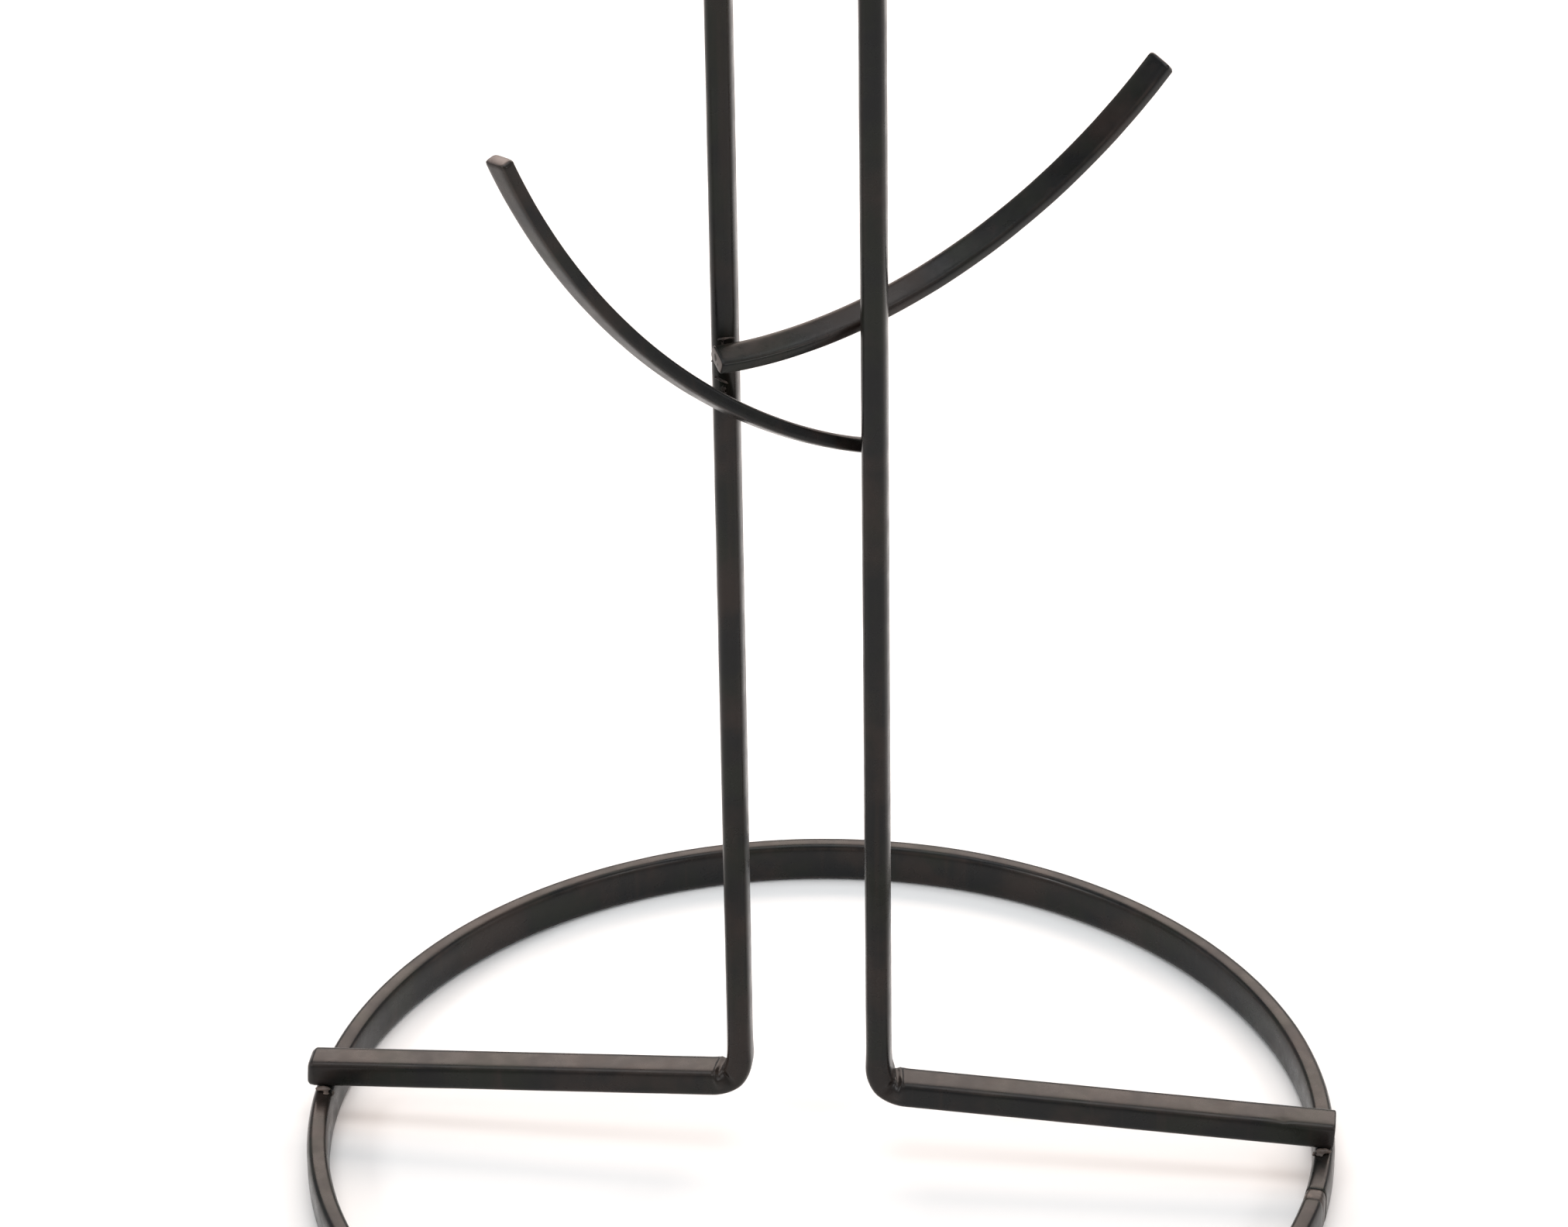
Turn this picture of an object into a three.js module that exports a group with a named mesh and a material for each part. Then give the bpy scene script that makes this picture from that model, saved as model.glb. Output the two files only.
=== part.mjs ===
// A welded steel mug tree. A ring of flat strip stands on the table. One bar is bent into the spine:
// two feet that lie across the ring, two uprights, and a loop to carry it by. Strip hooks run out
// from the uprights in crossed pairs, one pair to a tier.
//
// Millimetres, +Z up. The origin is on the table, below the middle of the spine. +X runs along the
// feet, and -Y is the front.

import * as THREE from "three";

// Base ring, of flat strip bent on edge.
const ringRadius = 80; // outside
const ringThickness = 3.5;
const ringHeight = 7;
const ringEdgeRadius = 0.8;
const ringShift = 1.6; // the ring's middle is this far to the right of the spine
const seamWidth = 2.6; // the gap where the strip's two ends meet, which the seam weld fills
const seamAngle = THREE.MathUtils.degToRad(-10); // from +X

// Spine, of bar that is deeper than it is wide.
const barWidth = 4.2; // in the plane of its bends
const barDepth = 5.5; // across that plane, from front to back
const barEdgeRadius = 1.2;
const barBendRadius = 4.6; // centre line of the bend from foot to upright
const leftFootOverhang = 0.9; // how far the left foot's end stands out past the ring
const rightFootInset = 0.3; // how far the right foot's end stops short of the ring's outside
const footRise = 3.1; // how much higher a foot is at its bend than over the ring
const footSpacing = 21.6; // between the uprights' centre lines, at the feet
const loopSpacing = 21; // the same, at the top
const spineLean = THREE.MathUtils.degToRad(0.27); // the uprights lean to the left by this
const loopHeight = 68; // from the highest hook's root to the top of the loop

// Hooks, of strip with rounded edges. A hook's root is its inner end.
const hookWidth = 4.2;
const hookThickness = 2.2;
const hookEdgeRadius = 0.6;
const hookRoll = THREE.MathUtils.degToRad(20); // the strip leans over to the hook's right by this
const hookBendEase = 0.77; // below 1, the bend is tightest at the root and eases towards the tip
const rootOverrun = 0.5; // how far a root reaches past the middle of its upright

// Tiers. In each, the lower hook points left and the upper one right.
const tierCount = 3;
const tierSpacing = 90;
const firstTierHeight = 121; // the lower hook's root, above the table
const crossStep = 19.4; // from the lower hook's root up to the upper one's
const hookPair = [
  { side: "left", length: 83.4, rootSlope: 12.5, tipSlope: 69 },
  { side: "right", length: 80.1, rootSlope: -5.3, tipSlope: 49 },
];
const tierNames = ["low", "middle", "top"];

// Welds. Pieces that are welded together stand this far apart, and the bead joins them.
const weldGap = 0.25;
const beadLength = 3;
const beadRadius = 0.7;

const bronze = new THREE.MeshStandardMaterial({ color: 0x3f3b37, roughness: 0.42, metalness: 0.75 });
const weldBronze = new THREE.MeshStandardMaterial({ color: 0x37332f, roughness: 0.6, metalness: 0.7 });

const bendSteps = 8;
const loopSteps = 20;
const ringSteps = 96;
const hookSteps = 18;
const cornerSteps = 2;
const beadCapSteps = 2;
const beadSides = 8;
const up = new THREE.Vector3(0, 0, 1);

const tree = new THREE.Group();

function addMesh(name, geometry, material) {
  const mesh = new THREE.Mesh(geometry, material);
  mesh.name = name;
  tree.add(mesh);
  return mesh;
}

// A path through given stops that stays in one plane. Its sections keep their second axis on the
// plane's own normal, so a strip never twists.
class FlatPath extends THREE.Curve {
  constructor(stops, planeNormal) {
    super();
    this.stops = stops;
    this.planeNormal = planeNormal;
  }

  getUtoTmapping(u) {
    return u;
  }

  getPoint(t, target = new THREE.Vector3()) {
    const place = THREE.MathUtils.clamp(t, 0, 1) * (this.stops.length - 1);
    const index = Math.min(Math.floor(place), this.stops.length - 2);
    return target.lerpVectors(this.stops[index], this.stops[index + 1], place - index);
  }

  computeFrenetFrames(segments) {
    const tangents = [];
    const normals = [];
    const binormals = [];
    for (let i = 0; i <= segments; i++) {
      const tangent = this.getTangentAt(i / segments);
      tangents.push(tangent);
      normals.push(new THREE.Vector3().crossVectors(this.planeNormal, tangent).normalize());
      binormals.push(this.planeNormal.clone());
    }
    return { tangents, normals, binormals };
  }
}

// A rectangle with rounded corners about the origin, turned by an angle. Its first side lies in the
// plane of the path it is swept along, and its second across that plane.
function barSection(inPlane, across, edgeRadius, turn = 0) {
  const middleX = inPlane / 2 - edgeRadius;
  const middleY = across / 2 - edgeRadius;
  const points = [];
  for (let corner = 0; corner < 4; corner++) {
    const signX = corner === 0 || corner === 3 ? 1 : -1;
    const signY = corner < 2 ? 1 : -1;
    for (let i = 0; i <= cornerSteps; i++) {
      const angle = ((corner + i / cornerSteps) * Math.PI) / 2;
      const x = signX * middleX + edgeRadius * Math.cos(angle);
      const y = signY * middleY + edgeRadius * Math.sin(angle);
      points.push(new THREE.Vector2(x, y).rotateAround(new THREE.Vector2(), turn));
    }
  }
  return new THREE.Shape(points);
}

// How far a turned section reaches from its middle in each direction.
function sectionReach(inPlane, across, edgeRadius, turn) {
  const cos = Math.abs(Math.cos(turn));
  const sin = Math.abs(Math.sin(turn));
  const flatIn = inPlane / 2 - edgeRadius;
  const flatAcross = across / 2 - edgeRadius;
  return {
    inPlane: flatIn * cos + flatAcross * sin + edgeRadius,
    across: flatIn * sin + flatAcross * cos + edgeRadius,
  };
}

function sweep(section, path) {
  return new THREE.ExtrudeGeometry(section, {
    steps: path.stops.length - 1,
    extrudePath: path,
    bevelEnabled: false,
  });
}

function arcStops(middle, radius, from, to, steps, place) {
  const stops = [];
  for (let i = 0; i <= steps; i++) {
    const angle = from + ((to - from) * i) / steps;
    stops.push(place(middle.x + radius * Math.cos(angle), middle.y + radius * Math.sin(angle)));
  }
  return stops;
}

// Base ring: a C of strip, and the weld that closes it.
const ringLineRadius = ringRadius - ringThickness / 2;
const ringMiddle = new THREE.Vector2(ringShift, 0);

function ringStretch(from, to, steps) {
  const place = (x, y) => new THREE.Vector3(x, y, ringHeight / 2);
  const stops = arcStops(ringMiddle, ringLineRadius, from, to, steps, place);
  // The path is level, so its section's first side is radial and its second is upright.
  return sweep(barSection(ringThickness, ringHeight, ringEdgeRadius), new FlatPath(stops, up));
}

const seamHalfAngle = seamWidth / 2 / ringRadius;
const gapAngle = weldGap / ringRadius;
addMesh(
  "base_ring",
  ringStretch(seamAngle + seamHalfAngle, seamAngle + 2 * Math.PI - seamHalfAngle, ringSteps),
  bronze,
);
addMesh(
  "weld_ring_seam",
  ringStretch(seamAngle - seamHalfAngle + gapAngle, seamAngle + seamHalfAngle - gapAngle, 1),
  weldBronze,
);

// Spine.
const footEndHeight = ringHeight + weldGap + barWidth / 2;
const bendHeight = footEndHeight + footRise; // where the foot's and upright's centre lines would meet
const topRootHeight = firstTierHeight + (tierCount - 1) * tierSpacing + crossStep;
const spineHeight = topRootHeight + loopHeight;
const loopRadius = loopSpacing / 2;
const loopMiddleHeight = spineHeight - barWidth / 2 - loopRadius;

function uprightX(height) {
  const share = (height - bendHeight) / (loopMiddleHeight - bendHeight);
  return THREE.MathUtils.lerp(footSpacing, loopSpacing, share) / 2;
}

// How far the lean moves the spine to the right at a height.
function leanAt(height) {
  return -(height - bendHeight) * Math.tan(spineLean);
}

// One foot, its bend and the start of its upright, from the foot's end. side is +1 to the right.
function footStops(side, footReach) {
  const place = (x, z) => new THREE.Vector3(side * x + leanAt(z), 0, z);
  const footEnd = new THREE.Vector2(footReach, footEndHeight);
  const corner = new THREE.Vector2(footSpacing / 2, bendHeight);
  const shoulder = new THREE.Vector2(loopRadius, loopMiddleHeight);
  const inward = corner.clone().sub(footEnd).normalize();
  const upward = shoulder.clone().sub(corner).normalize();
  const turn = Math.acos(inward.dot(upward));
  const setBack = barBendRadius * Math.tan(turn / 2);
  const bendStart = corner.clone().addScaledVector(inward, -setBack);
  const middle = new THREE.Vector2(-inward.y, inward.x).multiplyScalar(-barBendRadius).add(bendStart);
  const from = bendStart.clone().sub(middle).angle() - 2 * Math.PI;
  return [
    place(footEnd.x, footEnd.y),
    ...arcStops(middle, barBendRadius, from, from - turn, bendSteps, place),
  ];
}

function spineStops() {
  const place = (x, z) => new THREE.Vector3(x + leanAt(z), 0, z);
  const loop = arcStops(new THREE.Vector2(0, loopMiddleHeight), loopRadius, 0, Math.PI, loopSteps, place);
  const right = footStops(1, ringRadius + ringShift - rightFootInset);
  const left = footStops(-1, ringRadius - ringShift + leftFootOverhang);
  return [...right, ...loop, ...left.reverse()];
}

const front = new THREE.Vector3(0, -1, 0);
const spineSection = barSection(barWidth, barDepth, barEdgeRadius);
addMesh("spine", sweep(spineSection, new FlatPath(spineStops(), front)), bronze);

// Hooks. Each starts against one upright and passes the other on its far side.
const hookReach = sectionReach(hookThickness, hookWidth, hookEdgeRadius, hookRoll);

// The angle between a hook's upright plane and the spine's, at which the hook clears the rounded
// inner edges of both uprights by the weld gap.
function crossingAngle(uprightAt) {
  const edge = new THREE.Vector2(uprightAt - barWidth / 2 + barEdgeRadius, barDepth / 2 - barEdgeRadius);
  const clearance = barEdgeRadius + weldGap + hookReach.across;
  return Math.asin(clearance / edge.length()) + edge.angle();
}

// The line of one hook: outward is +1 to the right, and frontRoot is +1 where the root is in front
// of its upright.
function hookStops(hook, rootHeight, outward, frontRoot) {
  const uprightAt = uprightX(rootHeight);
  const angle = crossingAngle(uprightAt);
  const heading = new THREE.Vector3(outward * Math.cos(angle), frontRoot * Math.sin(angle), 0);
  const rootSlope = THREE.MathUtils.degToRad(hook.rootSlope);
  const tipSlope = THREE.MathUtils.degToRad(hook.tipSlope);
  const stop = heading.clone().multiplyScalar(-uprightAt / Math.cos(angle) - rootOverrun);
  stop.x += leanAt(rootHeight);
  stop.z = rootHeight;
  const stops = [stop.clone()];
  for (let i = 0; i < hookSteps; i++) {
    const share = (i + 0.5) / hookSteps;
    const slope = rootSlope + (tipSlope - rootSlope) * share ** hookBendEase;
    stop.addScaledVector(heading, (Math.cos(slope) * hook.length) / hookSteps);
    stop.addScaledVector(up, (Math.sin(slope) * hook.length) / hookSteps);
    stops.push(stop.clone());
  }
  const rightHand = new THREE.Vector3().crossVectors(heading, up);
  return { stops, rightHand };
}

// The point where a hook's line is beside an upright, and how steeply it climbs there.
function besideUpright(stops, x) {
  const after = stops.findIndex((stop, i) => i > 0 && (stop.x - x) * (stops[i - 1].x - x) <= 0);
  const [a, b] = [stops[after - 1], stops[after]];
  const climb = Math.atan2(Math.abs(b.z - a.z), Math.abs(b.x - a.x));
  return { place: a.clone().lerp(b, (x - a.x) / (b.x - a.x)), climb };
}

// A weld bead with round ends, lying along X.
function addBead(name, length) {
  const geometry = new THREE.CapsuleGeometry(beadRadius, length - 2 * beadRadius, beadCapSteps, beadSides);
  const bead = addMesh(name, geometry, weldBronze);
  bead.rotation.z = Math.PI / 2;
  return bead;
}

// A bead lies level in the corner above a hook, against the face of the upright, and clears the
// hook where the hook has climbed the most.
function addHookBead(name, { place, climb }, face) {
  const bead = addBead(name, beadLength);
  const halfStraight = beadLength / 2 - beadRadius;
  const clearance = hookReach.inPlane + weldGap + beadRadius;
  const rise = clearance / Math.cos(climb) + halfStraight * Math.tan(climb);
  const away = barDepth / 2 + weldGap + beadRadius;
  bead.position.set(place.x, face * away, place.z + rise);
}

for (let tier = 0; tier < tierCount; tier++) {
  // Every second tier is crossed the other way round, so that mugs don't hang straight above others.
  const turnedFront = tier % 2 === 0 ? 1 : -1;
  hookPair.forEach((hook, upper) => {
    const outward = hook.side === "right" ? 1 : -1;
    const frontRoot = outward * turnedFront;
    const rootHeight = firstTierHeight + tier * tierSpacing + upper * crossStep;
    const { stops, rightHand } = hookStops(hook, rootHeight, outward, frontRoot);
    const section = barSection(hookThickness, hookWidth, hookEdgeRadius, turnedFront * hookRoll);
    const label = `${tierNames[tier]}_${hook.side}`;
    addMesh(`hook_${label}`, sweep(section, new FlatPath(stops, rightHand)), bronze);

    const uprightAt = uprightX(rootHeight);
    const root = besideUpright(stops, -outward * uprightAt + leanAt(rootHeight));
    const pass = besideUpright(stops, outward * uprightAt + leanAt(rootHeight));
    addHookBead(`weld_${label}_root`, root, -frontRoot);
    addHookBead(`weld_${label}_pass`, pass, frontRoot);
  });
}

// A bead lies on the ring along each side of each foot.
for (const [sideName, side] of [["left", -1], ["right", 1]]) {
  for (const [faceName, face] of [["front", -1], ["back", 1]]) {
    const bead = addBead(`weld_foot_${sideName}_${faceName}`, ringThickness);
    bead.position.x = ringShift + side * ringLineRadius;
    bead.position.y = face * (barDepth / 2 + weldGap + beadRadius);
    bead.position.z = ringHeight + weldGap + beadRadius;
  }
}

export default tree;
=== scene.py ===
"""Looks for a welded steel mug tree: dark bronze paint on bent bar and strip.

The shapes are worked out in millimetres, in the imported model's own frame, and scaled to metres when
a mesh is made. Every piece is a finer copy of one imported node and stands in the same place.
"""

import math

import bmesh
import bpy
from mathutils import Matrix, Vector, noise


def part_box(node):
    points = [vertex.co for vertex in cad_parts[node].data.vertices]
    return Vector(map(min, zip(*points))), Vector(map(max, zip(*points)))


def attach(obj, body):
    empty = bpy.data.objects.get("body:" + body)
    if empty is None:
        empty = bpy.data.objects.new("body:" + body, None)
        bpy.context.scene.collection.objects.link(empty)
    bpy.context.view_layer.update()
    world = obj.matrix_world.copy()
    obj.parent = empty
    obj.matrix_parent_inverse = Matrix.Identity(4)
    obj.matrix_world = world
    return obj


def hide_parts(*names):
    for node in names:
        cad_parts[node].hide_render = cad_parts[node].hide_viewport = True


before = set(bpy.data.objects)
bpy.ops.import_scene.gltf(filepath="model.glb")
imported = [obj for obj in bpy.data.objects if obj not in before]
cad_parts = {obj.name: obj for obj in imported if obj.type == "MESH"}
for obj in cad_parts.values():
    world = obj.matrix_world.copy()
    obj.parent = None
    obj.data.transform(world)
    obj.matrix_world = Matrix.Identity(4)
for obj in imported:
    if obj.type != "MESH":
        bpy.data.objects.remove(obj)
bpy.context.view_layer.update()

MM = 0.001
UP = Vector((0, 0, 1))
FRONT = Vector((0, -1, 0))


def node_box(node):
    """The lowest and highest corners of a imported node, in millimetres."""
    low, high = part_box(node)
    return low / MM, high / MM


# Base ring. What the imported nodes' boxes give is read from them.
ring_low, ring_high = node_box("base_ring")
RING_RADIUS = (ring_high.x - ring_low.x) / 2
RING_SHIFT = (ring_high.x + ring_low.x) / 2
RING_HEIGHT = ring_high.z
RING_THICKNESS = 3.5
RING_LINE = RING_RADIUS - RING_THICKNESS / 2
RING_SQUARENESS = 3.8
RING_STEPS = 560
SEAM_ANGLE = math.radians(-10)
SEAM_WIDTH = 2.6
SEAM_STEPS = 16
SEAM_FILL = 0.98
SEAM_SWELL = (0.12, 0.25, 0.35)  # height, middle and width, the last two in half widths of the seam
SEAM_SWELL_UP = 0.6
SEAM_GROOVE = 0.16
SEAM_GROOVE_AT = (0.7, 1.0)

# Spine.
spine_low, spine_high = node_box("spine")
BAR_WIDTH = 4.2  # in the plane of the bends
BAR_DEPTH = spine_high.y - spine_low.y
BAR_EDGE = 1.2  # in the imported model, and so is HOOK_EDGE
FOOT_WIDTH = 4.6  # the bar is a little upset where it lies across the ring
UPRIGHT_WIDTH = 3.9  # and a little drawn out where it stands
FOOT_SQUARENESS = 5.1
UPRIGHT_SQUARENESS = 3.1
WIDENING = (-6, 3)  # where the upright's width turns into the foot's, from the bend's middle
SQUARING = (-8, 4)  # and its squareness
END_CLEARANCE = 0.1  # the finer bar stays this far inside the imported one
FACE_CLEARANCE = 0.025
BEND_RADIUS = 4.6
WELD_GAP = 0.25
FOOT_RISE = 3.1
FOOT_SPACING = 21.6
LOOP_SPACING = 21
SPINE_LEAN = math.radians(0.27)  # to the left
FOOT_REACH = {1: spine_high.x - END_CLEARANCE, -1: -spine_low.x - END_CLEARANCE}
FOOT_END_HEIGHT = RING_HEIGHT + WELD_GAP + BAR_WIDTH / 2
BEND_HEIGHT = FOOT_END_HEIGHT + FOOT_RISE
LOOP_RADIUS = LOOP_SPACING / 2
LOOP_MIDDLE_HEIGHT = spine_high.z - BAR_WIDTH / 2 - LOOP_RADIUS
FOOT_STEPS = 90
UPRIGHT_STEPS = 150
FOOT_CROWDING = 1.6  # steps get shorter towards the bends, where the bar changes shape
UPRIGHT_CROWDING = 1.5
BEND_STEPS = 44
LOOP_STEPS = 60

# The hard bends at the feet. A swelling is given as (height, middle, width). If nothing else is said,
# its middle is measured along the bar from the bend's middle, and is positive towards the foot's end.
CORNER_PINCH = 0.8  # how much sharper the inner corner is than a round bend
CORNER_SWELL = 0.1  # and the outer one
CREASE_SOFTNESS = 0.12  # radians
CREASE_DENT = (0.65, 0.4, 0.65)
BULGE = (0.6, 2.2, 0.75)
BULGE_ACROSS = (1.0, -0.7, 0.85)  # from the bar's middle line, positive away from the inner corner
FOLD = (0.26, 1.5, 0.5)
FOLD_GROOVE = (0.2, 0.7, 0.4)
FOLD_SLANT = 0.3
NICK = (0.3, 7.4, 0.28)  # on top of the right foot, from its end
NICK_SLANT = 0.35
NICK_BACK = (-1.4, -0.6)  # across the bar, where it begins and where it is full

# Hooks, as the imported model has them.
HOOK_WIDTH = 4.2
HOOK_THICKNESS = 2.2
HOOK_EDGE = 0.6
HOOK_ROLL = math.radians(20)
HOOK_EASE = 0.77
HOOK_STEPS = 110
ROOT_OVERRUN = 0.5
FIRST_TIER_HEIGHT = 121
TIER_SPACING = 90
CROSS_STEP = 19.4
TIERS = ("low", "middle", "top")
HOOK_PAIR = (
    {"side": "left", "length": 83.4, "root_slope": 12.5, "tip_slope": 69},
    {"side": "right", "length": 80.1, "root_slope": -5.3, "tip_slope": 49},
)
# Only here: the strip's rounder outline is a little fuller.
HOOK_SQUARENESS = 4.4
FULLER_THICKNESS = 0.1
FULLER_WIDTH = 0.15

# Weld beads. A lump is given by where its middle is and by its radii.
BEAD_FROM_BAR = 0.25
BEAD_OVER_HOOK = 0.55
BEAD_SLIP = 0.5
HOOK_BEAD_LUMPS = (  # along the hook, back towards the hook, radii
    (0.0, 0.0, (1.7, 0.55, 0.5)),
    (1.0, 0.1, (0.7, 0.5, 0.45)),
    (-1.1, 0.05, (0.6, 0.45, 0.4)),
)
WEB_INSET = 0.15
WEB_LENGTH = 0.8
WEB_DEPTH = 0.3
END_LUMP_INSET = 0.25
END_LUMP_RADII = (0.55, 1.95, 1.25)
FOOT_BEAD_FROM_BAR = 0.45
FOOT_BEAD_LUMPS = (  # out along the foot, away from the foot, above the ring, radii
    (0.0, 0.0, 0.45, (1.5, 0.8, 0.65)),
    (-0.6, 0.6, 0.1, (0.9, 0.8, 0.4)),
    (-1.55, 0.0, -0.15, (0.5, 0.6, 0.65)),
)
VOXEL = 0.14

SECTION_STEPS = 64
CAP_STEPS = 3
WORN_AND_HIGHLIT_CORNER = (0.66, 0.84)  # how far out across the section the corners begin and are full, where the paint is drawn lighter as rubbed paint and as a painted highlight
BAR_DENTS = 0.045
SEAM_DENTS = 0.2
WIDE_DENTS = 7
SMALL_DENTS = 2.1
SMALL_DENT_SHARE = 0.4
BEAD_DENTS = ((0.8, 0.3), (2.0, 0.24))  # how far apart, how deep


def smooth_step(low, high, value):
    share = min(max((value - low) / (high - low), 0.0), 1.0)
    return share * share * (3 - 2 * share)


def swell_at(value, height, middle, width):
    """As high as the height at the middle, and falling smoothly to nothing on both sides."""
    return height * math.exp(-(((value - middle) / width) ** 2))


def blend(first, second, share):
    return first + (second - first) * share


# Meshes.


def section(in_plane, across, squareness, turn=0.0):
    """Points (a, b, edge) round a rolled bar, whose sides bulge a little between its rounded corners:
    a is in the plane of its line, b is across that plane, and edge is 1 on a corner and 0 on a side; there
    the paint is drawn lighter, as rubbed paint and as a painted highlight.
    squareness is 2 for an oval, and more for a squarer bar."""
    points = []
    for i in range(SECTION_STEPS):
        angle = 2 * math.pi * (i + 0.5) / SECTION_STEPS
        cos, sin = math.cos(angle), math.sin(angle)
        a = math.copysign(abs(cos) ** (2 / squareness), cos)
        b = math.copysign(abs(sin) ** (2 / squareness), sin)
        edge = smooth_step(*WORN_AND_HIGHLIT_CORNER, min(abs(a), abs(b)))
        points.append((a * in_plane / 2, b * across / 2, edge))
    cos, sin = math.cos(turn), math.sin(turn)
    return [(a * cos - b * sin, a * sin + b * cos, edge) for a, b, edge in points]


def shrunk(points, inset):
    """A section with its outline moved in by about the inset."""
    reach = max(math.hypot(a, b) for a, b, _ in points)
    nearest = min(math.hypot(a, b) for a, b, _ in points)
    scale = 1 - inset / ((reach + nearest) / 2)
    return [(a * scale, b * scale, edge) for a, b, edge in points]


def wobble(place, size, depth):
    """A small hand-made unevenness that only goes inwards: depth is that of the deepest dents, and
    size is how far apart they are."""
    return (noise.noise(place / size) - 1) * depth / 2


def sweep(name, stops, plane_normal, sections, round_ends, dents=BAR_DENTS, tilt=(0.0, 0.0)):
    """A bar along stops that lie in one plane, with a section for each stop. round_ends are the radii
    of the cut ends' edges, and tilt leans the cut ends out of square, in radians."""
    last = len(stops) - 1
    verts, worn_and_highlit_edges, cuts = [], [], []

    def add_ring(place, normal, points, cut, shear=Vector()):
        for a, b, edge in points:
            across = normal * a + plane_normal * b
            spot = place + across + shear * a
            dent = wobble(spot, WIDE_DENTS, dents) + wobble(spot, SMALL_DENTS, dents * SMALL_DENT_SHARE)
            spot += across.normalized() * dent
            verts.append(spot * MM)
            worn_and_highlit_edges.append(edge)
            cuts.append(cut)

    def add_cap(stop, outward, normal, points, radius, lean, order):
        for step in order:
            share = step / CAP_STEPS
            angle = share * math.pi / 2
            place = stop + outward * radius * (math.sin(angle) - 1)
            inset = radius * (1 - math.cos(angle))
            add_ring(place, normal, shrunk(points, inset), share, outward * math.tan(lean))

    for i, (stop, points) in enumerate(zip(stops, sections)):
        tangent = (stops[min(i + 1, last)] - stops[max(i - 1, 0)]).normalized()
        normal = plane_normal.cross(tangent).normalized()
        place = stop
        if i == 0:
            add_cap(stop, -tangent, normal, points, round_ends[0], tilt[0], range(CAP_STEPS, 0, -1))
            place = stop + tangent * round_ends[0]
        if i == last:
            place = stop - tangent * round_ends[1]
        add_ring(place, normal, points, 0.0)
        if i == last:
            add_cap(stop, tangent, normal, points, round_ends[1], tilt[1], range(1, CAP_STEPS + 1))
    per_ring = len(sections[0])
    ring_count = len(verts) // per_ring
    faces = []
    for i in range(ring_count - 1):
        for j in range(per_ring):
            k = (j + 1) % per_ring
            faces.append((i * per_ring + j, i * per_ring + k, (i + 1) * per_ring + k, (i + 1) * per_ring + j))
    faces.append(tuple(reversed(range(per_ring))))
    faces.append(tuple(range((ring_count - 1) * per_ring, ring_count * per_ring)))
    return make_piece(name, verts, faces, worn_and_highlit_edges, cuts)


def make_piece(name, verts, faces, worn_and_highlit_edges, cuts):
    mesh = bpy.data.meshes.new(name)
    mesh.from_pydata(verts, [], faces)
    shape = bmesh.new()
    shape.from_mesh(mesh)
    bmesh.ops.recalc_face_normals(shape, faces=shape.faces)
    shape.to_mesh(mesh)
    shape.free()
    # The edge values mark the corners that the paint draws lighter, partly as wear and partly as a painted
    # highlight.
    for label, values in (("edge", worn_and_highlit_edges), ("cut", cuts)):
        attribute = mesh.attributes.new(label, "FLOAT", "POINT")
        attribute.data.foreach_set("value", values)
    mesh.shade_smooth()
    piece = bpy.data.objects.new(name, mesh)
    bpy.context.scene.collection.objects.link(piece)
    return piece


def install(piece, material, node):
    piece.data.materials.clear()
    piece.data.materials.append(material)
    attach(piece, "root")
    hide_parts(node)


# Materials.

STREAK_STRETCH = (1.0, 1.0, 0.045)
SKIN_DEPTH = 0.04 * MM
LUMP_DEPTH = 0.22 * MM
PAINT_IOR = 1.3


class Nodes:
    """A small helper that adds nodes to a material and links them."""

    MIX_COLOURS = (6, 7)  # where the mix node has its two colours and its result
    MIX_RESULT = 2

    def __init__(self, name):
        self.material = bpy.data.materials.new(name)
        self.material.use_nodes = True
        self.tree = self.material.node_tree
        self.shader = self.tree.nodes["Principled BSDF"]
        coordinates = self.tree.nodes.new("ShaderNodeTexCoord")
        self.place = coordinates.outputs["Object"]

    def link(self, source, target):
        self.tree.links.new(source, target)

    def noise(self, per_metre, detail, roughness=0.55, stretch=None):
        texture = self.tree.nodes.new("ShaderNodeTexNoise")
        texture.inputs["Scale"].default_value = per_metre
        texture.inputs["Detail"].default_value = detail
        texture.inputs["Roughness"].default_value = roughness
        place = self.place
        if stretch is not None:
            squeeze = self.tree.nodes.new("ShaderNodeMapping")
            squeeze.inputs["Scale"].default_value = stretch
            self.link(place, squeeze.inputs["Vector"])
            place = squeeze.outputs["Vector"]
        self.link(place, texture.inputs["Vector"])
        return texture.outputs["Fac"]

    def attribute(self, name):
        node = self.tree.nodes.new("ShaderNodeAttribute")
        node.attribute_name = name
        return node.outputs["Fac"]

    def spread(self, source, low, high, to_low=0.0, to_high=1.0):
        node = self.tree.nodes.new("ShaderNodeMapRange")
        node.interpolation_type = "SMOOTHSTEP"
        for socket, value in zip(("From Min", "From Max", "To Min", "To Max"), (low, high, to_low, to_high)):
            node.inputs[socket].default_value = value
        self.link(source, node.inputs["Value"])
        return node.outputs["Result"]

    def product(self, first, second):
        node = self.tree.nodes.new("ShaderNodeMath")
        node.operation = "MULTIPLY"
        node.use_clamp = True
        self.link(first, node.inputs[0])
        self.link(second, node.inputs[1])
        return node.outputs["Value"]

    def mix(self, factor, first, second):
        node = self.tree.nodes.new("ShaderNodeMix")
        node.data_type = "RGBA"
        self.link(factor, node.inputs["Factor"])
        for at, value in zip(self.MIX_COLOURS, (first, second)):
            if isinstance(value, tuple):
                node.inputs[at].default_value = (*value, 1.0)
            else:
                self.link(value, node.inputs[at])
        return node.outputs[self.MIX_RESULT]

    def bump(self, height, distance, strength, below=None):
        node = self.tree.nodes.new("ShaderNodeBump")
        node.inputs["Distance"].default_value = distance
        node.inputs["Strength"].default_value = strength
        self.link(height, node.inputs["Height"])
        if below is not None:
            self.link(below, node.inputs["Normal"])
        return node.outputs["Normal"]


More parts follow.
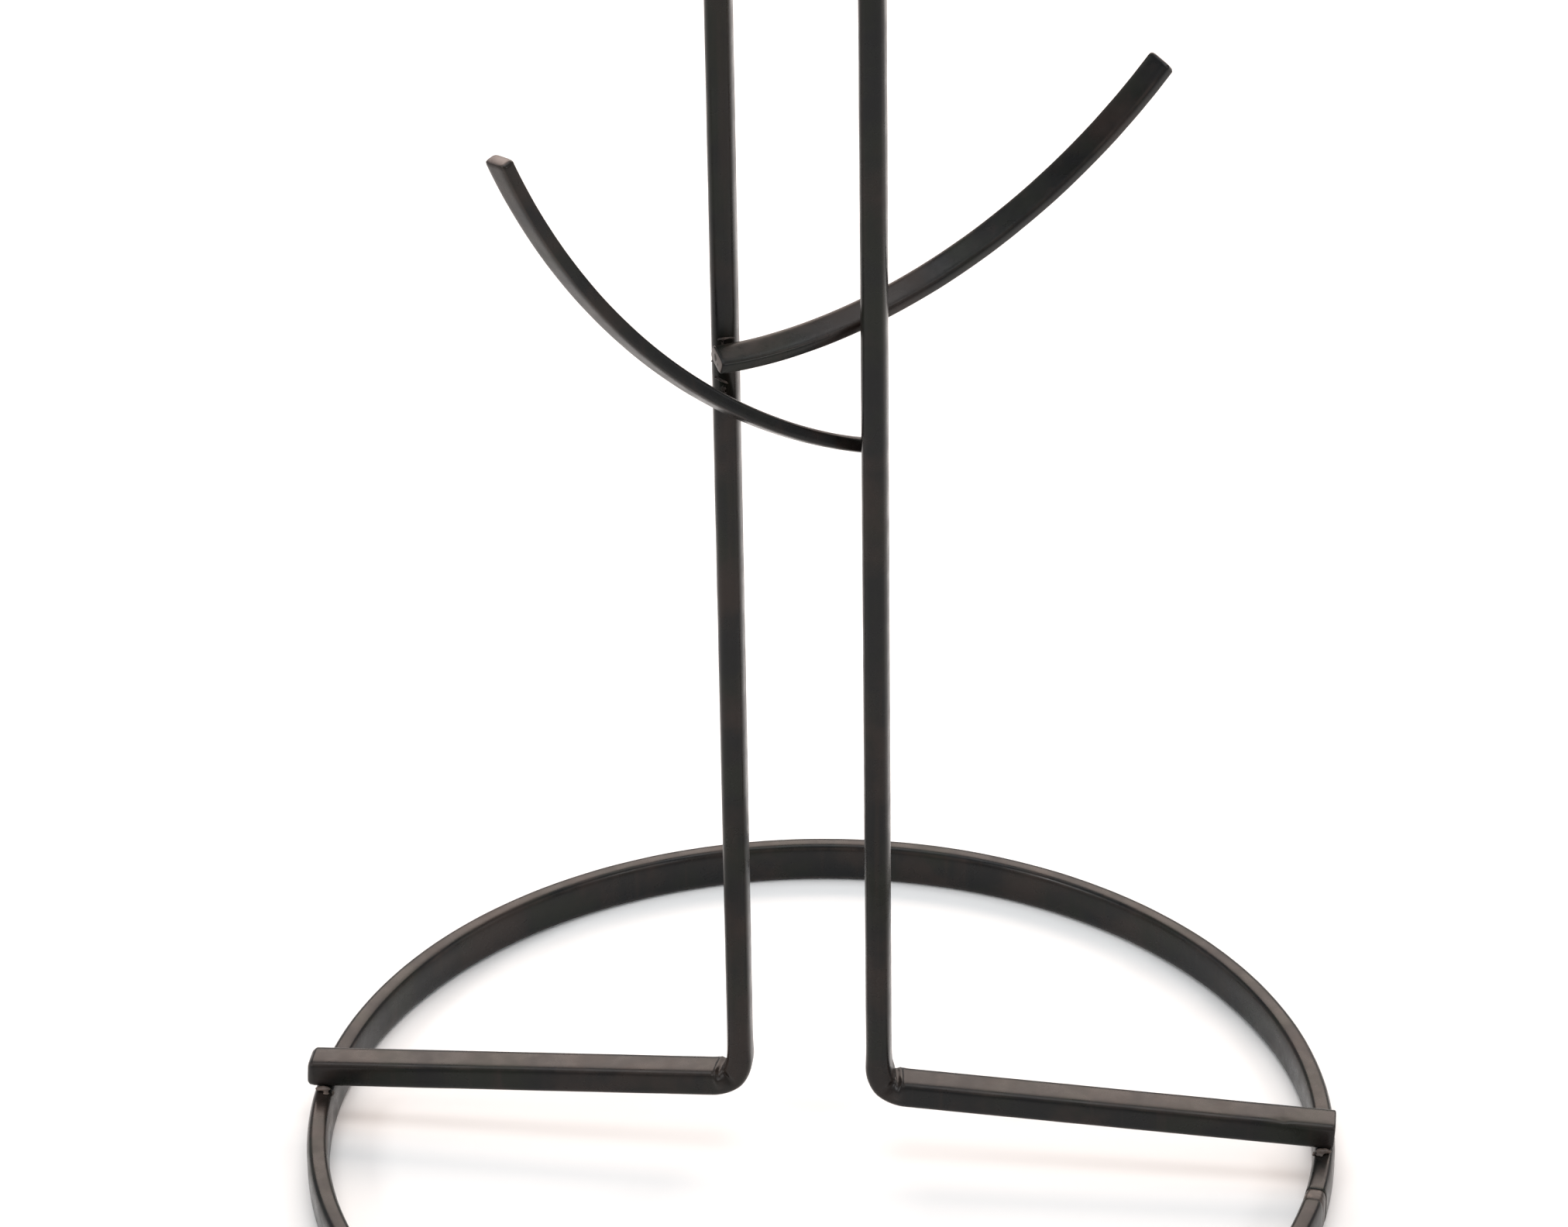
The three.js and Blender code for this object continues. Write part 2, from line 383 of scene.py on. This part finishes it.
def bronze_paint(name, dark, green, warm, worn_and_highlit, bare, rough, lumpy):
    """Satin paint over steel. It is mottled in green and brown, drawn out in upright streaks, lighter along
    the edges, where it is thinner and where a highlight is painted, and thinnest on the cut ends."""
    nodes = Nodes(name)
    green_patches = nodes.spread(nodes.noise(110, 3), 0.42, 0.66)
    warm_patches = nodes.spread(nodes.noise(75, 4), 0.46, 0.68)
    streaks = nodes.spread(nodes.noise(420, 3, 0.6, STREAK_STRETCH), 0.52, 0.72, 0.0, 0.55)
    edge_patches = nodes.spread(nodes.noise(160, 4, 0.6), 0.35, 0.7, 0.25, 1.0)
    # Painted highlight: the edges are drawn lighter, partly as rubbed paint and partly as the light that they
    # catch.
    wear_and_edge_highlight = nodes.product(nodes.spread(nodes.attribute("edge"), 0.3, 1.0, 0.0, 0.5), edge_patches)
    cut_end = nodes.spread(nodes.attribute("cut"), 0.5, 1.0, 0.0, 0.85)
    colour = nodes.mix(green_patches, dark, green)
    colour = nodes.mix(warm_patches, colour, warm)
    colour = nodes.mix(streaks, colour, warm)
    colour = nodes.mix(wear_and_edge_highlight, colour, worn_and_highlit)
    colour = nodes.mix(cut_end, colour, bare)
    nodes.link(colour, nodes.shader.inputs["Base Color"])
    sheen = nodes.spread(nodes.noise(240, 4), 0.3, 0.7, *rough)
    nodes.link(sheen, nodes.shader.inputs["Roughness"])
    skin = nodes.bump(nodes.noise(1100, 2), SKIN_DEPTH, lumpy * 0.5)
    relief = nodes.bump(nodes.noise(230, 3), LUMP_DEPTH, lumpy, skin)
    nodes.link(relief, nodes.shader.inputs["Normal"])
    nodes.shader.inputs["IOR"].default_value = PAINT_IOR
    return nodes.material


bar_paint = bronze_paint(
    "bronze_paint",
    dark=(0.0072, 0.0074, 0.0076),
    green=(0.0098, 0.011, 0.0078),
    warm=(0.021, 0.0148, 0.0122),
    worn_and_highlit=(0.05, 0.038, 0.032),
    bare=(0.14, 0.112, 0.1),
    rough=(0.24, 0.36),
    lumpy=0.2,
)
# Painted highlight: the welds' paint is drawn several times lighter than the bar's, standing in for the light
# the beads catch.
weld_paint_with_painted_highlight = bronze_paint(
    "bronze_paint_on_weld_with_painted_highlight",
    dark=(0.03, 0.026, 0.0235),
    green=(0.045, 0.037, 0.032),
    warm=(0.16, 0.12, 0.1),
    worn_and_highlit=(0.06, 0.05, 0.045),
    bare=(0.1, 0.08, 0.07),
    rough=(0.3, 0.45),
    lumpy=0.5,
)


# Base ring.


def ring_stops(start, end, steps):
    """Points along the middle line of the strip, half way up it."""
    stops = []
    for i in range(steps + 1):
        angle = blend(start, end, i / steps)
        x = RING_SHIFT + RING_LINE * math.cos(angle)
        stops.append(Vector((x, RING_LINE * math.sin(angle), RING_HEIGHT / 2)))
    return stops


def seam_section(share):
    """The weld that closes the ring: ground down to a low bead with a fine groove on each side."""
    from_middle = abs(share - 0.5) * 2
    swell = swell_at(from_middle, *SEAM_SWELL) - SEAM_GROOVE * smooth_step(*SEAM_GROOVE_AT, from_middle)
    return section(RING_THICKNESS + swell, RING_HEIGHT + swell * SEAM_SWELL_UP, RING_SQUARENESS)


seam_half = SEAM_WIDTH / 2 / RING_RADIUS
strip_stops = ring_stops(SEAM_ANGLE + seam_half, SEAM_ANGLE + 2 * math.pi - seam_half, RING_STEPS)
strip_section = section(RING_THICKNESS, RING_HEIGHT, RING_SQUARENESS)
ring = sweep("ring_strip", strip_stops, UP, [strip_section] * len(strip_stops), round_ends=(0.25, 0.25))
install(ring, bar_paint, "base_ring")

seam = sweep(
    "ring_seam_bead",
    ring_stops(SEAM_ANGLE - seam_half * SEAM_FILL, SEAM_ANGLE + seam_half * SEAM_FILL, SEAM_STEPS),
    UP,
    [seam_section(i / SEAM_STEPS) for i in range(SEAM_STEPS + 1)],
    round_ends=(0.1, 0.1),
    dents=SEAM_DENTS,
)
install(seam, weld_paint_with_painted_highlight, "weld_ring_seam")


# Spine: one bar from foot to foot, with hard bends that pinch it on the inside.


def lean_at(height):
    """How far the spine's lean moves it to the right at a height."""
    return -(height - BEND_HEIGHT) * math.tan(SPINE_LEAN)


def spine_half(side):
    """Stops from one foot's end up to the loop, and the bend's angle. Each stop comes with its distance
    from the bend's middle, along the bar and positive towards the foot's end."""
    foot_end = Vector((FOOT_REACH[side], 0, FOOT_END_HEIGHT))
    corner = Vector((FOOT_SPACING / 2, 0, BEND_HEIGHT))
    shoulder = Vector((LOOP_RADIUS, 0, LOOP_MIDDLE_HEIGHT))
    inward = (corner - foot_end).normalized()
    upward = (shoulder - corner).normalized()
    turn = math.acos(inward.dot(upward))
    set_back = BEND_RADIUS * math.tan(turn / 2)
    bend_start = corner - inward * set_back
    bend_end = corner + upward * set_back
    middle = bend_start + Vector((-inward.z, 0, inward.x)) * -BEND_RADIUS
    half = BEND_RADIUS * turn / 2
    stops = []
    foot_length = (bend_start - foot_end).length
    for i in range(FOOT_STEPS):
        share = 1 - (1 - i / FOOT_STEPS) ** FOOT_CROWDING
        stops.append((foot_end.lerp(bend_start, share), half + foot_length * (1 - share)))
    from_middle = bend_start - middle
    for i in range(BEND_STEPS + 1):
        share = i / BEND_STEPS
        spot = middle + Matrix.Rotation(turn * share, 3, "Y") @ from_middle
        stops.append((spot, half * (1 - 2 * share)))
    upright_length = (shoulder - bend_end).length
    for i in range(1, UPRIGHT_STEPS + 1):
        share = (i / UPRIGHT_STEPS) ** UPRIGHT_CROWDING
        stops.append((bend_end.lerp(shoulder, share), -half - upright_length * share))
    return [(Vector((side * spot.x, 0, spot.z)), away) for spot, away in stops], turn


def spine_line():
    """Stops along the bar's middle line, from the right foot over the loop to the left foot, each with
    its distance from the nearer bend, and the bends' angle."""
    right, turn = spine_half(1)
    left, _ = spine_half(-1)
    past_bend = right[-1][1]
    loop = []
    for i in range(1, LOOP_STEPS):
        angle = math.pi * i / LOOP_STEPS
        spot = Vector((LOOP_RADIUS * math.cos(angle), 0, LOOP_MIDDLE_HEIGHT + LOOP_RADIUS * math.sin(angle)))
        loop.append((spot, past_bend))
    stops = right + loop + left[::-1]
    return [(spot + Vector((lean_at(spot.z), 0, 0)), away) for spot, away in stops], turn


spine_stops, spine_turn = spine_line()
foot_run = spine_stops[0][1]


def spine_section(spot, away):
    half_width = blend(UPRIGHT_WIDTH, FOOT_WIDTH, smooth_step(*WIDENING, away)) / 2
    squareness = blend(UPRIGHT_SQUARENESS, FOOT_SQUARENESS, smooth_step(*SQUARING, away))
    # How far the inner and outer faces are from the bar's middle line, compared with a plain round bend.
    inner, outer = half_width, half_width
    if abs(away) < BEND_RADIUS * spine_turn / 2:
        angle = math.hypot(away / BEND_RADIUS, CREASE_SOFTNESS)
        flare = 1 / math.cos(max(spine_turn / 2 - angle, 0)) - 1
        inner = BEND_RADIUS - (BEND_RADIUS - half_width) * (1 + CORNER_PINCH * flare)
        outer = (BEND_RADIUS + half_width) * (1 + CORNER_SWELL * flare) - BEND_RADIUS
    points = []
    for a, b, edge in section(half_width * 2, BAR_DEPTH - FACE_CLEARANCE * 2, squareness):
        # The squeezed metal dents the front and back faces along the crease, and bulges beside it.
        dent = swell_at(away, *CREASE_DENT) * smooth_step(-half_width, half_width, -a)
        bulge = swell_at(away, *BULGE) * swell_at(a, *BULGE_ACROSS)
        if a < 0:
            # It also stands up in a small slanting fold on the foot, close beside the corner.
            slanted = away - FOLD_SLANT * b
            fold = swell_at(slanted, *FOLD) - swell_at(slanted, *FOLD_GROOVE)
            a *= (inner + fold) / half_width
        else:
            a *= outer / half_width
        b += b / (BAR_DEPTH / 2) * (bulge - dent)
        if spot.x > 0 and a < 0 and away > 0:
            from_end = foot_run - away
            nick = swell_at(from_end - NICK_SLANT * b, *NICK) * smooth_step(*NICK_BACK, b)
            a -= nick * a / half_width
        points.append((a, b, edge))
    return points


spine = sweep(
    "spine_bar",
    [spot for spot, _ in spine_stops],
    FRONT,
    [spine_section(spot, away) for spot, away in spine_stops],
    round_ends=(0.35, 1.0),
    tilt=(0.0, 0.12),
)
install(spine, bar_paint, "spine")


# Hooks.


def section_reach(turn):
    """How far a packed hook's section reaches across the plane of its line when it is turned."""
    flat_in = HOOK_THICKNESS / 2 - HOOK_EDGE
    flat_across = HOOK_WIDTH / 2 - HOOK_EDGE
    return flat_in * abs(math.sin(turn)) + flat_across * abs(math.cos(turn)) + HOOK_EDGE


def upright_x(height):
    """How far each upright's middle is from the spine's middle at a height."""
    share = (height - BEND_HEIGHT) / (LOOP_MIDDLE_HEIGHT - BEND_HEIGHT)
    return blend(FOOT_SPACING, LOOP_SPACING, share) / 2


def crossing_angle(upright_at):
    """The angle at which a hook passes in front of one upright and behind the other, and just clears
    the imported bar's rounded edges."""
    edge = Vector((upright_at - BAR_WIDTH / 2 + BAR_EDGE, BAR_DEPTH / 2 - BAR_EDGE))
    clearance = BAR_EDGE + WELD_GAP + section_reach(HOOK_ROLL)
    return math.asin(clearance / edge.length) + math.atan2(edge.y, edge.x)


def hook_line(hook, root_height, outward, front_root):
    """Stops from a hook's root to its tip, and the level direction across the plane they lie in."""
    upright_at = upright_x(root_height)
    angle = crossing_angle(upright_at)
    heading = Vector((outward * math.cos(angle), front_root * math.sin(angle), 0))
    root_slope, tip_slope = math.radians(hook["root_slope"]), math.radians(hook["tip_slope"])
    stop = heading * (-upright_at / math.cos(angle) - ROOT_OVERRUN)
    stop.x += lean_at(root_height)
    stop.z = root_height
    stops = [stop.copy()]
    for i in range(HOOK_STEPS):
        slope = blend(root_slope, tip_slope, ((i + 0.5) / HOOK_STEPS) ** HOOK_EASE)
        step = hook["length"] / HOOK_STEPS
        stop = stop + heading * (math.cos(slope) * step) + UP * (math.sin(slope) * step)
        stops.append(stop)
    return stops, heading.cross(UP)


def beside(stops, x):
    """The point where a hook's line is beside an upright, and its direction there."""
    pairs = zip(stops, stops[1:])
    before, after = next(pair for pair in pairs if (pair[0].x - x) * (pair[1].x - x) <= 0)
    share = (x - before.x) / (after.x - before.x)
    return before.lerp(after, share), (after - before).normalized()


# Weld beads: lumps melted together.


def lump(shape, place, radii, direction):
    """An ellipsoid, with its first axis along the direction, and its surface uneven."""
    turn = direction.to_track_quat("X", "Z").to_matrix()
    made = bmesh.ops.create_icosphere(shape, subdivisions=4, radius=1.0)
    for vertex in made["verts"]:
        unit = vertex.co.copy()
        spot = place + turn @ Vector(unit[k] * radii[k] for k in range(3))
        dent = sum(wobble(spot, size, depth) for size, depth in BEAD_DENTS)
        vertex.co = (spot + turn @ unit * dent) * MM


def weld(name, node, lumps):
    """One bead, melted together from lumps (place, radii, direction)."""
    shape = bmesh.new()
    for place, radii, direction in lumps:
        lump(shape, place, radii, direction)
    mesh = bpy.data.meshes.new(name)
    shape.to_mesh(mesh)
    shape.free()
    piece = bpy.data.objects.new(name, mesh)
    bpy.context.scene.collection.objects.link(piece)
    melt = piece.modifiers.new("melt", "REMESH")
    melt.mode = "VOXEL"
    melt.voxel_size = VOXEL * MM
    melt.use_smooth_shade = True
    settle = piece.modifiers.new("settle", "SMOOTH")
    settle.iterations = 2
    bpy.context.view_layer.update()
    solid = bpy.data.meshes.new_from_object(piece.evaluated_get(bpy.context.evaluated_depsgraph_get()))
    piece.modifiers.clear()
    piece.data = solid
    solid.name = name
    solid.shade_smooth()
    for label in ("edge", "cut"):
        solid.attributes.new(label, "FLOAT", "POINT")
    install(piece, weld_paint_with_painted_highlight, node)


def hook_welds(label, stops, outward, front_root, root_height):
    """A bead where a hook is fixed to one upright, and one where it passes the other."""
    upright_at, lean = upright_x(root_height), lean_at(root_height)
    away = BAR_DEPTH / 2 + BEAD_FROM_BAR
    over = HOOK_THICKNESS / 2 + BEAD_OVER_HOOK
    for end, upright, face in (("root", -outward, -front_root), ("pass", outward, front_root)):
        place, way = beside(stops, upright * upright_at + lean)
        lumps = []
        for side in (1, -1):
            middle = Vector((place.x, face * away, place.z)) + UP * side * over + way * side * BEAD_SLIP
            for along, sink, radii in HOOK_BEAD_LUMPS:
                lumps.append((middle + way * along - UP * side * sink, radii, way))
        # The bead is one piece: a thin web of metal joins its upper and lower runs beside the bar.
        web_middle = Vector((place.x, face * (away - WEB_INSET), place.z))
        lumps.append((web_middle, (WEB_LENGTH, WEB_DEPTH, over), way * Vector((1, 1, 0))))
        if end == "root":
            # The strip's cut end is melted over too.
            heading = (stops[1] - stops[0]).normalized()
            lumps.append((stops[0] + heading * END_LUMP_INSET, END_LUMP_RADII, heading))
        weld(f"bead_{label}_{end}", f"weld_{label}_{end}", lumps)


for tier, tier_name in enumerate(TIERS):
    turned_front = 1 if tier % 2 == 0 else -1
    for upper, hook in enumerate(HOOK_PAIR):
        outward = 1 if hook["side"] == "right" else -1
        front_root = outward * turned_front
        root_height = FIRST_TIER_HEIGHT + tier * TIER_SPACING + upper * CROSS_STEP
        stops, right_hand = hook_line(hook, root_height, outward, front_root)
        thickness, width = HOOK_THICKNESS + FULLER_THICKNESS, HOOK_WIDTH + FULLER_WIDTH
        strip_section = section(thickness, width, HOOK_SQUARENESS, turned_front * HOOK_ROLL)
        label = f"{tier_name}_{hook['side']}"
        piece = sweep(
            f"strip_{label}",
            stops,
            right_hand,
            [strip_section] * len(stops),
            round_ends=(0.3, 0.55),
            tilt=(0.0, 0.1 * outward),
        )
        install(piece, bar_paint, f"hook_{label}")
        hook_welds(label, stops, outward, front_root, root_height)

for side_name, side in (("left", -1), ("right", 1)):
    for face_name, face in (("front", -1), ("back", 1)):
        lumps = []
        for out, off, height, radii in FOOT_BEAD_LUMPS:
            x = RING_SHIFT + side * (RING_LINE + out)
            y = face * (BAR_DEPTH / 2 + FOOT_BEAD_FROM_BAR + off)
            lumps.append((Vector((x, y, RING_HEIGHT + height)), radii, Vector((1, 0, 0))))
        weld(f"bead_foot_{side_name}_{face_name}", f"weld_foot_{side_name}_{face_name}", lumps)


# Floor, light and camera, in metres.

FLOOR_HALF = 8.0
LIGHT_AIM = Vector((0, 0, 0.12))

def plain_material(name, colour, roughness):
    material = bpy.data.materials.new(name)
    material.use_nodes = True
    shader = material.node_tree.nodes["Principled BSDF"]
    shader.inputs["Base Color"].default_value = (*colour, 1.0)
    shader.inputs["Roughness"].default_value = roughness
    shader.inputs["Specular IOR Level"].default_value = 0.0
    return material


floor_mesh = bpy.data.meshes.new("floor")
floor_mesh.from_pydata(
    [(x * FLOOR_HALF, y * FLOOR_HALF, 0) for x, y in ((-1, -1), (1, -1), (1, 1), (-1, 1))],
    [],
    [(0, 1, 2, 3)],
)
floor_mesh.materials.append(plain_material("pale_floor", (0.87, 0.87, 0.86), 0.9))
floor = bpy.data.objects.new("floor", floor_mesh)
bpy.context.scene.collection.objects.link(floor)


def soft_light(name, place, size, watts, colour=(1, 1, 1)):
    data = bpy.data.lights.new(name, "AREA")
    data.shape = "RECTANGLE"
    data.size, data.size_y = size
    data.energy = watts
    data.color = colour
    lamp = bpy.data.objects.new(name, data)
    lamp.location = place
    lamp.rotation_euler = (LIGHT_AIM - Vector(place)).to_track_quat("-Z", "Y").to_euler()
    lamp.visible_camera = False
    bpy.context.scene.collection.objects.link(lamp)


soft_light("back_panel", (0.1, 1.7, 1.45), (2.6, 1.3), 50, (1.0, 0.83, 0.74))
soft_light("top_panel", (0, -0.1, 2.2), (1.6, 1.6), 24, (0.97, 0.985, 1.0))
soft_light("left_panel", (-1.8, 0.2, 0.8), (0.7, 1.2), 3)
soft_light("right_panel", (1.8, 0.1, 0.8), (0.7, 1.2), 3)
soft_light("left_front_panel", (-1.2, -0.9, 1.0), (0.35, 0.35), 7)
soft_light("right_front_panel", (1.2, -0.9, 1.0), (0.35, 0.35), 4)

world = bpy.data.worlds.new("studio")
world.use_nodes = True
background = world.node_tree.nodes["Background"]
background.inputs["Color"].default_value = (0.93, 0.95, 1.0, 1.0)
background.inputs["Strength"].default_value = 0.4
bpy.context.scene.world = world
bpy.context.scene.view_settings.view_transform = "Standard"

CAMERA_PLACE = Vector((74.1, -619.95, 452.19)) * MM
CAMERA_TURN = math.radians(7.115)  # to the left of +Y
CAMERA_PITCH = math.radians(29.699)  # below the horizon
CAMERA_ROLL = math.radians(-0.6009)
SENSOR_WIDTH = 36  # millimetres
LENS = 112.32

camera_data = bpy.data.cameras.new("camera")
camera_data.sensor_width = SENSOR_WIDTH
camera_data.lens = LENS
camera = bpy.data.objects.new("camera", camera_data)
camera.rotation_mode = "QUATERNION"
forward = Vector((0, math.cos(CAMERA_PITCH), -math.sin(CAMERA_PITCH)))
forward.rotate(Matrix.Rotation(CAMERA_TURN, 3, "Z"))
camera.location = CAMERA_PLACE
level = forward.to_track_quat("-Z", "Y")
camera.rotation_quaternion = level @ Matrix.Rotation(CAMERA_ROLL, 3, "Z").to_quaternion()
bpy.context.scene.collection.objects.link(camera)
bpy.context.scene.camera = camera
